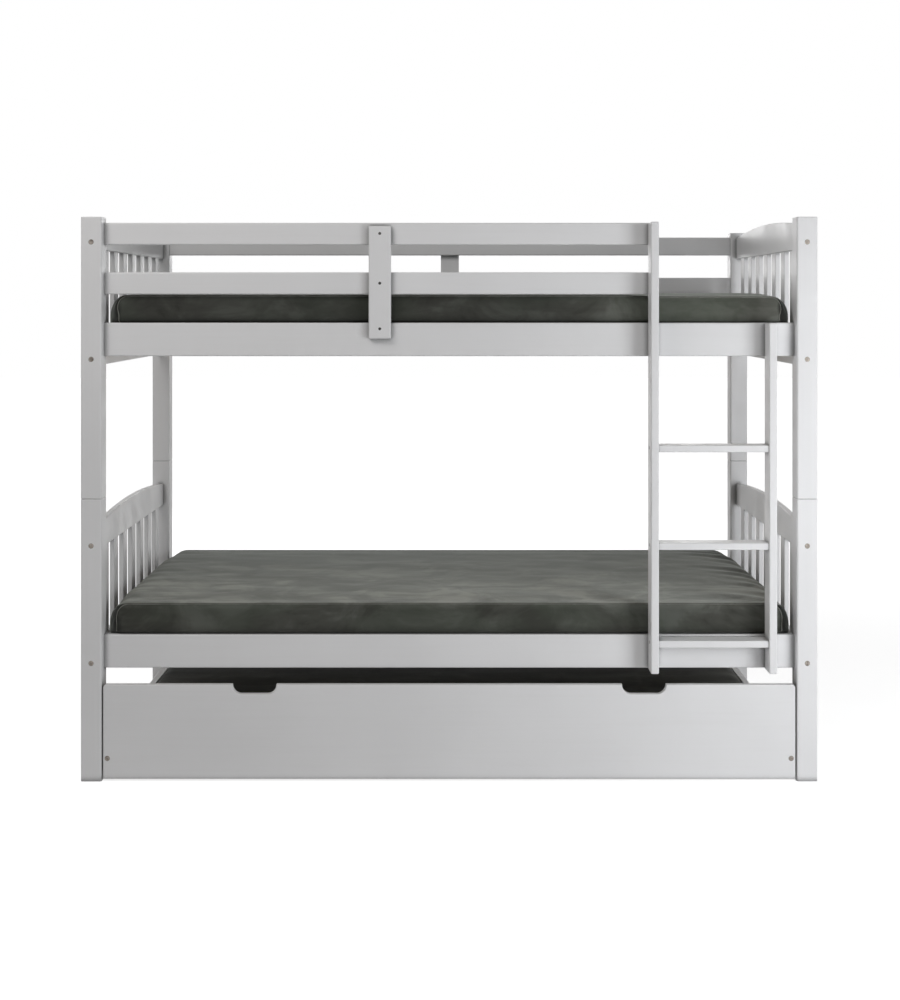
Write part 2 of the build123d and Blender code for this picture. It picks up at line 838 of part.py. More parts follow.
def trundle_end_board(side):
    """An end board of the trundle, over its two castors."""
    half = end_board_thickness / 2
    x = side * end_board_x
    y_ends = (trundle_inner_y["front"], trundle_inner_y["rear"])
    solid = slab((x - half, x + half), y_ends, (end_board_bottom, end_board_top))
    return trundle_kit.drill(eased(solid, Axis.Y, panel_edge_radius))


def trundle_rear_board():
    """The board that closes the trundle's rear."""
    half = trundle_length / 2 - end_board_setback
    inner_y = trundle_inner_y["rear"]
    y_ends = (inner_y, inner_y + trundle_board_thickness)
    solid = slab((-half, half), y_ends, (rear_board_floor_gap, end_board_top))
    return trundle_kit.drill(eased(solid, Axis.X, panel_edge_radius))


def trundle_cleats():
    """The two cleats that carry the trundle's slats."""
    half = trundle_inner_length / 2
    z_ends = (rear_board_floor_gap, trundle_cleat_top)
    pieces = []
    for row_name, row in rows.items():
        inner_y = trundle_inner_y[row_name]
        y_ends = (inner_y, inner_y - row * trundle_cleat_side)
        pieces.append(trundle_kit.drill(slab((-half, half), y_ends, z_ends)))
    return pieces


def trundle_slats():
    """The slats under the trundle's mattress."""
    half = deck_slat_width / 2
    y_ends = (trundle_inner_y["front"] + deck_side_gap, trundle_inner_y["rear"] - deck_side_gap)
    z_ends = (trundle_cleat_top, trundle_deck_top)
    places = deck_slat_places(trundle_slat_count, trundle_inner_length)
    return [trundle_kit.drill(slab((x - half, x + half), y_ends, z_ends)) for x in places]


def trundle_mattress():
    """The trundle's mattress, thinner than the bunks' ones."""
    length = trundle_inner_length - 2 * trundle_mattress_end_gap
    shape = cushion(length, trundle_mattress_width, trundle_mattress_thickness)
    middle_y = (trundle_inner_y["front"] + trundle_inner_y["rear"]) / 2
    return Pos(0, middle_y, trundle_deck_top + soft_gap) * shape


def castor_spots():
    """The places of the four castors' axles, by name."""
    return {
        f"{row_name}_{name}": Pos(side * end_board_x, castor_y[row_name], wheel_radius)
        for row_name in rows
        for name, side in sides.items()
    }


def castor_bracket():
    """A castor's plate and its two cheeks, round its axle's centre."""
    half_width = castor_width / 2
    half_length = castor_plate_length / 2
    plate_z = castor_plate_bottom - wheel_radius
    plate_top = plate_z + castor_plate_thickness
    solid = slab((-half_width, half_width), (-half_length, half_length), (plate_z, plate_top))
    outline = Rectangle(2 * castor_cheek_radius, plate_z, align=(Align.CENTER, Align.MIN))
    outline += Circle(castor_cheek_radius)
    outline -= Circle(castor_axle_radius + castor_axle_gap)
    cheek = extrude(Plane.YZ * outline, castor_plate_thickness)
    inner = half_width - castor_plate_thickness
    solid += Pos(inner, 0, 0) * cheek
    solid += Pos(-half_width, 0, 0) * cheek
    return solid


def castor_axle():
    """A castor's axle with a riveted head outside each cheek."""
    half = castor_width / 2
    axle = Cylinder(castor_axle_radius, castor_width)
    for up in (-1, 1):
        axle += rod(axle_head_radius, *sorted((up * half, up * (half + axle_head_thickness))))
    return Rot(0, 90, 0) * axle


def castor_wheel():
    """A wheel with a rounded tread, a recessed web and a hub that runs on the axle."""
    half = wheel_width / 2
    bore = castor_axle_radius + castor_axle_gap
    blank = Pos((bore + wheel_radius) / 2, 0) * Rectangle(wheel_radius - bore, wheel_width)
    blank = fillet(blank.vertices().sort_by(Axis.X)[-2:], wheel_edge_radius)
    web_inner = hub_radius
    web_outer = wheel_radius - rim_thickness
    recess = Rectangle(web_outer - web_inner, 2 * hub_recess)
    for up in (-1, 1):
        blank -= Pos((web_inner + web_outer) / 2, up * half) * recess
    return Rot(0, 90, 0) * revolve(Plane.XZ * blank, Axis.Z)


def group(pieces):
    """Several solids as the pieces of one node."""
    return Compound(children=list(pieces))


def build():
    """Every node's shape by its name."""
    nodes = {}
    for bunk in bunks:
        for name, side in sides.items():
            for row_name, row in rows.items():
                nodes[f"{bunk}_post_{row_name}_{name}"] = post(bunk, side, row)
            nodes[f"{bunk}_cross_rail_{name}"] = cross_rail(bunk, side)
            nodes[f"{bunk}_arch_rail_{name}"] = arch_rail(bunk, side)
            nodes[f"{bunk}_end_slats_{name}"] = group(end_slats(bunk, side))
        for row_name, row in rows.items():
            nodes[f"{bunk}_side_rail_{row_name}"] = side_rail(bunk, row)
        nodes[f"{bunk}_cleats"] = group(cleats(bunk))
        nodes[f"{bunk}_deck_slats"] = group(deck_slats(bunk))
        nodes[f"{bunk}_mattress"] = mattress(bunk)
    for row_name, row in rows.items():
        for level in guard_levels:
            nodes[f"{row_name}_guard_rail_{level}"] = guard_rail(level, row_name)
        nodes[f"{row_name}_guard_brace"] = guard_brace(row)
    for name in sides:
        nodes[f"ladder_stile_{name}"] = ladder_stile(name)
    for index in range(tread_count):
        nodes[f"ladder_tread_{index + 1}"] = ladder_tread(index)
    nodes["post_pins"] = group(post_pins())
    nodes["frame_bolts"] = group(frame_kit.pieces["bolts"])
    nodes["frame_barrel_nuts"] = group(frame_kit.pieces["nuts"])
    nodes["frame_dowels"] = group(frame_kit.pieces["dowels"])
    nodes["frame_screws"] = group(frame_kit.pieces["screws"])
    nodes["trundle_front_panel"] = trundle_front_panel()
    for name, side in sides.items():
        nodes[f"trundle_end_board_{name}"] = trundle_end_board(side)
    nodes["trundle_rear_board"] = trundle_rear_board()
    nodes["trundle_cleats"] = group(trundle_cleats())
    nodes["trundle_deck_slats"] = group(trundle_slats())
    nodes["trundle_mattress"] = trundle_mattress()
    nodes["trundle_fasteners"] = group(sum(trundle_kit.pieces.values(), []))
    spots = castor_spots()
    nodes["castor_brackets"] = group(trundle_kit.drill(spot * castor_bracket()) for spot in spots.values())
    nodes["castor_axles"] = group(spot * castor_axle() for spot in spots.values())
    for name, spot in spots.items():
        nodes[f"castor_wheel_{name}"] = spot * castor_wheel()
    return nodes


place_frame_fasteners()
place_trundle_fasteners()
os.makedirs("parts", exist_ok=True)
for node_name, shape in build().items():
    export_step(shape, f"parts/{node_name}.step")
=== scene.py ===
import math

import bpy
import numpy as np
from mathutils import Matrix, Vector


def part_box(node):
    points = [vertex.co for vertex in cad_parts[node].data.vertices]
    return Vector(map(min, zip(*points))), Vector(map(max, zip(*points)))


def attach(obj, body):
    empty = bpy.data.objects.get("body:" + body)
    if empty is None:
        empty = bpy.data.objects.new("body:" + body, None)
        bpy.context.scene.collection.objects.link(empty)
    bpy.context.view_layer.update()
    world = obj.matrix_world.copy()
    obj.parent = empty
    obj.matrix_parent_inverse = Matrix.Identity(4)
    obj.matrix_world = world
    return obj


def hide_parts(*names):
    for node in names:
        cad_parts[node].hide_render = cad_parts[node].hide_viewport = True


# A white painted bunk bed with a pull-out trundle, dressed for the studio. Metres, in the frame of
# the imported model: X runs along the bed, -Y is the ladder side and Z is up.

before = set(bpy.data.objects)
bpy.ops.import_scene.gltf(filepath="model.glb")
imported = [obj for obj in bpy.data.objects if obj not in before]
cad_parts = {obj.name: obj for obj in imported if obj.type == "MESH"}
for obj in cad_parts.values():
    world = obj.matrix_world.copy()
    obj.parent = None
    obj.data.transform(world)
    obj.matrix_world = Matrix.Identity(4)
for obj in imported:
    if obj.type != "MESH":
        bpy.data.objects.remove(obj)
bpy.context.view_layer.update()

millimetre = 0.001


# Camera, floor and lights


def add_camera():
    """The photograph's level camera, with the frame moved down instead of the camera tilted."""
    data = bpy.data.cameras.new("camera")
    data.sensor_fit = "VERTICAL"
    data.sensor_height = 36
    data.sensor_width = 32.4
    data.lens = 51.42
    data.shift_x = -0.0025
    data.shift_y = -0.1986
    camera = bpy.data.objects.new("camera", data)
    camera.location = (0.009, -4.373, 1.309)
    camera.rotation_euler = (math.radians(90), 0, 0)
    bpy.context.scene.collection.objects.link(camera)
    bpy.context.scene.camera = camera


def add_area_light(name, place, target, size, watts, colour):
    """A soft box at a place, turned towards a target."""
    data = bpy.data.lights.new(name, "AREA")
    data.shape = "RECTANGLE"
    data.size, data.size_y = size
    data.energy = watts
    data.color = colour
    light = bpy.data.objects.new(name, data)
    light.location = place
    light.rotation_euler = (Vector(target) - Vector(place)).to_track_quat("-Z", "Y").to_euler()
    bpy.context.scene.collection.objects.link(light)


def seen_share(tree):
    """One for camera, glossy and transmission rays, and zero for the rest."""
    path = tree.nodes.new("ShaderNodeLightPath")
    total = path.outputs["Is Camera Ray"]
    for other in ("Is Glossy Ray", "Is Transmission Ray"):
        both = tree.nodes.new("ShaderNodeMath")
        both.operation = "MAXIMUM"
        tree.links.new(total, both.inputs[0])
        tree.links.new(path.outputs[other], both.inputs[1])
        total = both.outputs[0]
    return total


def add_world(strength, colour):
    """Soft light from all round, and plain white where the world itself is seen."""
    world = bpy.data.worlds.new("studio")
    bpy.context.scene.world = world
    world.use_nodes = True
    tree = world.node_tree
    light = tree.nodes["Background"]
    light.inputs["Color"].default_value = (*colour, 1)
    light.inputs["Strength"].default_value = strength
    white = tree.nodes.new("ShaderNodeBackground")
    white.inputs["Color"].default_value = (1, 1, 1, 1)
    mix = tree.nodes.new("ShaderNodeMixShader")
    tree.links.new(seen_share(tree), mix.inputs["Fac"])
    tree.links.new(light.outputs[0], mix.inputs[1])
    tree.links.new(white.outputs[0], mix.inputs[2])
    tree.links.new(mix.outputs[0], tree.nodes["World Output"].inputs["Surface"])


def glow_by_distance(tree, near, far, at_near, at_far):
    """A strength that grows away from the middle of the floor, as the lamps' light fades."""
    place = tree.nodes.new("ShaderNodeTexCoord").outputs["Object"]
    length = tree.nodes.new("ShaderNodeVectorMath")
    length.operation = "LENGTH"
    tree.links.new(place, length.inputs[0])
    span = tree.nodes.new("ShaderNodeMapRange")
    span.interpolation_type = "SMOOTHSTEP"
    numbers = {"From Min": near, "From Max": far, "To Min": at_near, "To Max": at_far}
    for name, number in numbers.items():
        span.inputs[name].default_value = number
    tree.links.new(length.outputs["Value"], span.inputs["Value"])
    return span.outputs["Result"]


def add_floor():
    """A pale floor that is seen white, and keeps a soft shadow."""
    half = 20
    corners = [(-half, -half, 0), (half, -half, 0), (half, half, 0), (-half, half, 0)]
    mesh = bpy.data.meshes.new("floor")
    mesh.from_pydata(corners, [], [(0, 1, 2, 3)])
    floor = bpy.data.objects.new("floor", mesh)
    bpy.context.scene.collection.objects.link(floor)
    material = bpy.data.materials.new("floor_white")
    material.use_nodes = True
    tree = material.node_tree
    matt = tree.nodes["Principled BSDF"]
    matt.inputs["Base Color"].default_value = (0.85, 0.85, 0.85, 1)
    matt.inputs["Roughness"].default_value = 0.9
    matt.inputs["Specular IOR Level"].default_value = 0
    glow = tree.nodes.new("ShaderNodeEmission")
    glow.inputs["Color"].default_value = (1, 1, 1, 1)
    share = tree.nodes.new("ShaderNodeMath")
    share.operation = "MULTIPLY"
    tree.links.new(seen_share(tree), share.inputs[0])
    strength = glow_by_distance(tree, near=1.2, far=4.5, at_near=0.70, at_far=0.92)
    tree.links.new(strength, share.inputs[1])
    tree.links.new(share.outputs[0], glow.inputs["Strength"])
    both = tree.nodes.new("ShaderNodeAddShader")
    tree.links.new(matt.outputs[0], both.inputs[0])
    tree.links.new(glow.outputs[0], both.inputs[1])
    tree.links.new(both.outputs[0], tree.nodes["Material Output"].inputs["Surface"])
    mesh.materials.append(material)


# Materials


class Paint:
    """One material's nodes, built from object coordinates."""

    def __init__(self, name, roughness, metallic=0.0):
        self.material = bpy.data.materials.new(name)
        self.material.use_nodes = True
        self.tree = self.material.node_tree
        self.surface = self.tree.nodes["Principled BSDF"]
        self.surface.inputs["Roughness"].default_value = roughness
        self.surface.inputs["Metallic"].default_value = metallic
        self.place = self.tree.nodes.new("ShaderNodeTexCoord").outputs["Object"]

    def fixed(self, **values):
        """Sets constant values straight on the surface's own sockets."""
        for name, value in values.items():
            self.surface.inputs[name.replace("_", " ")].default_value = value

    def stretched(self, scale):
        """The place, scaled evenly or along each axis."""
        node = self.tree.nodes.new("ShaderNodeMapping")
        node.inputs["Scale"].default_value = scale if isinstance(scale, tuple) else (scale,) * 3
        self.tree.links.new(self.place, node.inputs["Vector"])
        return node.outputs["Vector"]

    def noise(self, scale, detail=3.0, roughness=0.5, distortion=0.0):
        """Noise of a scale, which lies mostly between 0.3 and 0.7."""
        node = self.tree.nodes.new("ShaderNodeTexNoise")
        node.inputs["Scale"].default_value = 1.0
        node.inputs["Detail"].default_value = detail
        node.inputs["Roughness"].default_value = roughness
        node.inputs["Distortion"].default_value = distortion
        self.tree.links.new(self.stretched(scale), node.inputs["Vector"])
        return node.outputs["Fac"]

    def spread(self, value, low, high, to_low=0.0, to_high=1.0):
        """The value's span from low to high, laid over another span."""
        node = self.tree.nodes.new("ShaderNodeMapRange")
        node.interpolation_type = "SMOOTHSTEP"
        spans = {"From Min": low, "From Max": high, "To Min": to_low, "To Max": to_high}
        for name, number in spans.items():
            node.inputs[name].default_value = number
        self.tree.links.new(value, node.inputs["Value"])
        return node.outputs["Result"]

    def varied(self, scale, detail=3.0, to_low=0.0, to_high=1.0):
        """Noise that fills a whole span."""
        return self.spread(self.noise(scale, detail), 0.3, 0.7, to_low, to_high)

    def math(self, operation, first, second):
        """Arithmetic between two values, of which the second may be a plain number."""
        node = self.tree.nodes.new("ShaderNodeMath")
        node.operation = operation
        self.tree.links.new(first, node.inputs[0])
        if isinstance(second, (int, float)):
            node.inputs[1].default_value = second
        else:
            self.tree.links.new(second, node.inputs[1])
        return node.outputs[0]

    def mixed(self, share, first, second):
        """A colour between two, which are colours or earlier results."""
        node = self.tree.nodes.new("ShaderNodeMix")
        node.data_type = "RGBA"
        self.tree.links.new(share, node.inputs["Factor"])
        for socket, colour in ((node.inputs[6], first), (node.inputs[7], second)):
            if isinstance(colour, tuple):
                socket.default_value = (*colour, 1)
            else:
                self.tree.links.new(colour, socket)
        return node.outputs[2]

    def edges(self, radius):
        """How near a place is to a sharp or tightly rounded edge, from 0 to 1."""
        bevel = self.tree.nodes.new("ShaderNodeBevel")
        bevel.samples = 4
        bevel.inputs["Radius"].default_value = radius
        geometry = self.tree.nodes.new("ShaderNodeNewGeometry")
        dot = self.tree.nodes.new("ShaderNodeVectorMath")
        dot.operation = "DOT_PRODUCT"
        self.tree.links.new(bevel.outputs[0], dot.inputs[0])
        self.tree.links.new(geometry.outputs["Normal"], dot.inputs[1])
        flat, sharp = 0.995, 0.80
        return self.spread(dot.outputs["Value"], flat, sharp)

    def facing(self, axis, low, high):
        """How squarely a place faces along X, Y or Z, from 0 to 1 between two shares."""
        geometry = self.tree.nodes.new("ShaderNodeNewGeometry")
        split = self.tree.nodes.new("ShaderNodeSeparateXYZ")
        self.tree.links.new(geometry.outputs["Normal"], split.inputs[0])
        size = self.tree.nodes.new("ShaderNodeMath")
        size.operation = "ABSOLUTE"
        self.tree.links.new(split.outputs[axis], size.inputs[0])
        return self.spread(size.outputs[0], low, high)

    def coordinate(self, axis):
        """A place's distance along X, Y or Z."""
        split = self.tree.nodes.new("ShaderNodeSeparateXYZ")
        self.tree.links.new(self.place, split.inputs[0])
        return split.outputs[axis]

    def crevice(self, reach):
        """How open a place is within a short reach, from a tight corner to none."""
        node = self.tree.nodes.new("ShaderNodeAmbientOcclusion")
        node.samples = 8
        node.inputs["Distance"].default_value = reach
        return node.outputs["AO"]

    def dimmed(self, colour, share):
        """A colour times a share that varies over the surface."""
        node = self.tree.nodes.new("ShaderNodeMix")
        node.data_type = "RGBA"
        node.blend_type = "MULTIPLY"
        node.inputs["Factor"].default_value = 1
        self.tree.links.new(colour, node.inputs[6])
        self.tree.links.new(share, node.inputs[7])
        return node.outputs[2]

    def bump(self, height, depth, strength=1.0):
        """Adds relief of a real depth on top of any already there."""
        node = self.tree.nodes.new("ShaderNodeBump")
        node.inputs["Strength"].default_value = strength
        node.inputs["Distance"].default_value = depth
        self.tree.links.new(height, node.inputs["Height"])
        normal = self.surface.inputs["Normal"]
        if normal.is_linked:
            self.tree.links.new(normal.links[0].from_socket, node.inputs["Normal"])
        self.tree.links.new(node.outputs[0], normal)

    def colour(self, result):
        self.tree.links.new(result, self.surface.inputs["Base Color"])

    def roughness(self, result):
        self.tree.links.new(result, self.surface.inputs["Roughness"])


def along(axis, length_scale, cross_scale):
    """A scale for streaks that run along one axis."""
    return tuple(length_scale if name == axis else cross_scale for name in "xyz")


def painted_wood(axis):
    """Satin white paint over planed wood, whose grain still shows faintly along one axis."""
    paint = Paint(f"painted_wood_{axis}", 0.42)
    paint.fixed(Coat_Weight=0.12, Coat_Roughness=0.25)
    body = paint.mixed(paint.varied(2.2, 2), (0.795, 0.795, 0.800), (0.835, 0.835, 0.840))
    grain = paint.noise(along(axis, 3, 110), 5, 0.6, 0.4)
    streaks = paint.spread(grain, 0.42, 0.78, 0, 0.10)
    body = paint.mixed(streaks, body, (0.70, 0.69, 0.68))
    # Paler edges, in patches: partly worn paint and partly a painted highlight along the rounded
    # edges.
    patchy = paint.spread(paint.noise(30), 0.35, 0.75)
    pale_edges = paint.math("MULTIPLY", paint.edges(3 * millimetre), patchy)
    body = paint.mixed(paint.math("MULTIPLY", pale_edges, 0.35), body, (0.88, 0.87, 0.85))
    # Painted shade: the paint darkened within about 22 mm of corners and joints, where shade falls.
    corners = paint.spread(paint.crevice(22 * millimetre), 0.5, 0.95, 0.42, 1)
    paint.colour(paint.dimmed(body, corners))
    paint.roughness(paint.varied(14, 3, 0.36, 0.50))
    paint.bump(grain, 0.25 * millimetre, 0.35)
    paint.bump(paint.noise(420, 2), 0.05 * millimetre, 0.3)
    return paint.material


def bare_wood(axis):
    """Planed pine with growth rings drawn out along one axis, and a few darker streaks."""
    paint = Paint(f"bare_wood_{axis}", 0.6)
    rings = paint.noise(along(axis, 1.6, 34), 4, 0.55, 1.2)
    body = paint.mixed(paint.spread(rings, 0.35, 0.65), (0.62, 0.42, 0.23), (0.76, 0.58, 0.37))
    pores = paint.noise(along(axis, 14, 420), 2, 0.5)
    body = paint.mixed(paint.spread(pores, 0.58, 0.74, 0, 0.35), body, (0.44, 0.28, 0.14))
    paint.colour(body)
    paint.roughness(paint.spread(rings, 0.3, 0.7, 0.52, 0.7))
    paint.bump(rings, 0.3 * millimetre, 0.5)
    paint.bump(pores, 0.1 * millimetre, 0.4)
    return paint.material


def steel(name, dark, light, roughness):
    """Dull plated steel, a little stained, with fine scratches."""
    paint = Paint(name, roughness, metallic=1.0)
    stain = paint.spread(paint.noise(160, 4, 0.6), 0.35, 0.65)
    paint.colour(paint.mixed(stain, dark, light))
    paint.roughness(paint.varied((700, 90, 700), 3, roughness - 0.1, roughness + 0.15))
    paint.bump(paint.noise((900, 120, 900), 2), 0.03 * millimetre, 0.4)
    return paint.material


def wheel_plastic():
    """Dark moulded plastic, scuffed paler on its edges."""
    paint = Paint("wheel_plastic", 0.5)
    body = paint.mixed(paint.varied(120), (0.035, 0.035, 0.037), (0.055, 0.055, 0.056))
    pale_edges = paint.math("MULTIPLY", paint.edges(1.5 * millimetre), 0.4)
    paint.colour(paint.mixed(pale_edges, body, (0.16, 0.16, 0.16)))
    paint.roughness(paint.varied(260, 3, 0.42, 0.6))
    paint.bump(paint.noise(1500, 2), 0.03 * millimetre, 0.5)
    return paint.material


front_tones = ((0.040, 0.041, 0.034), (0.066, 0.067, 0.058), (0.105, 0.110, 0.096))
# Painted light: the top's tones are paler copies of the front's.
lit_top_tones = ((0.062, 0.062, 0.054), (0.106, 0.106, 0.094), (0.185, 0.184, 0.165))
# Painted shade: the near-black tone of the mattress ends.
end_shade_tone = (0.010, 0.010, 0.0085)
green_tone = (0.072, 0.085, 0.066)


def mattress_fabric(name, look, low, high):
    """Plush, blotchy where the pile leans, with painted light on its top and upper edge and painted
    shade low down, at the rear and at its ends.
    """
    paint = Paint(name, 0.85)
    paint.fixed(Sheen_Weight=look["sheen"], Sheen_Roughness=0.45, Sheen_Tint=(0.80, 0.84, 0.78, 1))
    paint.fixed(Specular_IOR_Level=0.2)
    blotches = paint.math("MULTIPLY", paint.noise((6, 8, 9), 4, 0.62, 0.7), 0.72)
    leaning = paint.math("MULTIPLY", paint.noise(along("x", 4, 24), 3, 0.55, 0.5), 0.28)
    patch = paint.math("ADD", blotches, leaning)
    deep, middle, pale = shaded(front_tones, look["shade"])
    body = paint.mixed(paint.spread(patch, 0.38, 0.52), deep, middle)
    body = paint.mixed(paint.spread(patch, 0.50, 0.63), body, pale)
    tint = paint.spread(paint.noise((3, 3, 5), 2), 0.42, 0.60, 0, 0.4)
    body = paint.mixed(tint, body, green_tone)
    # Painted shade low down and painted light near the top: the long panels darker towards their
    # foot and paler towards their top edge.
    foot, shoulder = low + 0.35 * (high - low), high - 0.22 * (high - low)
    body = paint.dimmed(body, paint.spread(paint.coordinate("Z"), low, foot, 0.58, 1))
    body = paint.dimmed(body, paint.spread(paint.coordinate("Z"), shoulder, high, 1, 1.45))
    # Painted light and shade: the tones scaled along X, darker to the left and paler to the right.
    body = paint.dimmed(body, paint.spread(paint.coordinate("X"), *look["painted_light_along_x"]))
    # Painted shade: the ends, which face along X, turn near black.
    body = paint.mixed(paint.facing("X", 0.12, 0.45), body, end_shade_tone)
    # Painted light: the top is coloured from the paler tones.
    deep, middle, pale = shaded(lit_top_tones, look["shade"])
    above = paint.mixed(paint.spread(patch, 0.40, 0.52), deep, middle)
    above = paint.mixed(paint.spread(patch, 0.50, 0.62), above, pale)
    # Painted light and shade: the top paler at the front and darker towards the rear.
    above = paint.dimmed(above, paint.spread(paint.coordinate("Y"), -0.46, 0.42, 1.50, 0.48))
    paint.colour(paint.mixed(paint.facing("Z", 0.66, 0.92), body, above))
    paint.bump(paint.noise(55, 3, 0.6), 1.2 * millimetre, 0.25)
    paint.bump(paint.noise(1300, 2), 0.25 * millimetre, 0.5)
    return paint.material


def shaded(tones, shade):
    """Every tone times one share."""
    return [tuple(shade * value for value in tone) for tone in tones]


def cord_fabric(name, dark, pale):
    """The woven cover of the seam cords."""
    paint = Paint(name, 0.8)
    paint.fixed(Sheen_Weight=0.3, Sheen_Roughness=0.5, Specular_IOR_Level=0.2)
    paint.colour(paint.mixed(paint.spread(paint.noise(40, 3), 0.4, 0.6), dark, pale))
    paint.bump(paint.noise(1300, 2), 0.2 * millimetre, 0.5)
    return paint.material


upright_words = ("post", "end_slats", "stile", "brace")
across_words = ("cross_rail", "arch_rail", "deck_slats", "end_board")


def grain_axis(node_name):
    """The axis that a wooden piece's grain runs along."""
    if any(word in node_name for word in across_words):
        return "y"
    return "z" if any(word in node_name for word in upright_words) else "x"


def dress_cad_nodes():
    """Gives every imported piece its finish, by the name of the slot that it came with."""
    steels = {
        "bronzed_steel": steel("bronzed_steel", (0.12, 0.105, 0.09), (0.31, 0.28, 0.25), 0.42),
        "dark_steel": steel("dark_steel", (0.045, 0.042, 0.040), (0.11, 0.105, 0.10), 0.42),
        "bright_steel": steel("bright_steel", (0.42, 0.42, 0.41), (0.62, 0.62, 0.60), 0.34),
    }
    made = {"wheel_plastic": wheel_plastic(), **steels}
    for axis in "xyz":
        made[f"painted_wood_{axis}"] = painted_wood(axis)
        made[f"bare_wood_{axis}"] = bare_wood(axis)
    for name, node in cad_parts.items():
        slot = node.material_slots[0].material.name.split(".")[0]
        key = slot if slot in made else f"{slot}_{grain_axis(name)}"
        if name == "frame_screws":  # these come in the bolts' slot, and are darker than bolts
            key = "dark_steel"
        if key in made:
            node.material_slots[0].material = made[key]


# Mattresses


def steps_between(start, end, fine, coarse, fine_reach):
    """Places from start to end, close together near both ends and wider between them."""
    places = [start]
    while places[-1] < end - fine / 2:
        inside = min(places[-1] - start, end - places[-1])
        share = min(1.0, max(0.0, inside / fine_reach))
        places.append(places[-1] + fine + (coarse - fine) * share)
    span = places[-1] - start
    return np.array([start + (place - start) * (end - start) / span for place in places])


def box_grid(xs, ys, zs):
    """The vertices and quads of a box whose faces carry a grid of the given places."""
    counts = (len(xs), len(ys), len(zs))
    numbers, vertices, quads = {}, [], []

    def number(i, j, k):
        if (i, j, k) not in numbers:
            numbers[i, j, k] = len(vertices)
            vertices.append((xs[i], ys[j], zs[k]))
        return numbers[i, j, k]

    for axis in range(3):
        u, v = [other for other in range(3) if other != axis]
        for at_end in (False, True):
            fixed = counts[axis] - 1 if at_end else 0
            for a in range(counts[u] - 1):
                for b in range(counts[v] - 1):
                    corners = []
                    for step_a, step_b in ((0, 0), (1, 0), (1, 1), (0, 1)):
                        index = [0, 0, 0]
                        index[axis], index[u], index[v] = fixed, a + step_a, b + step_b
                        corners.append(number(*index))
                    outward = at_end if axis != 1 else not at_end
                    quads.append(corners if outward else corners[::-1])
    return np.array(vertices), quads


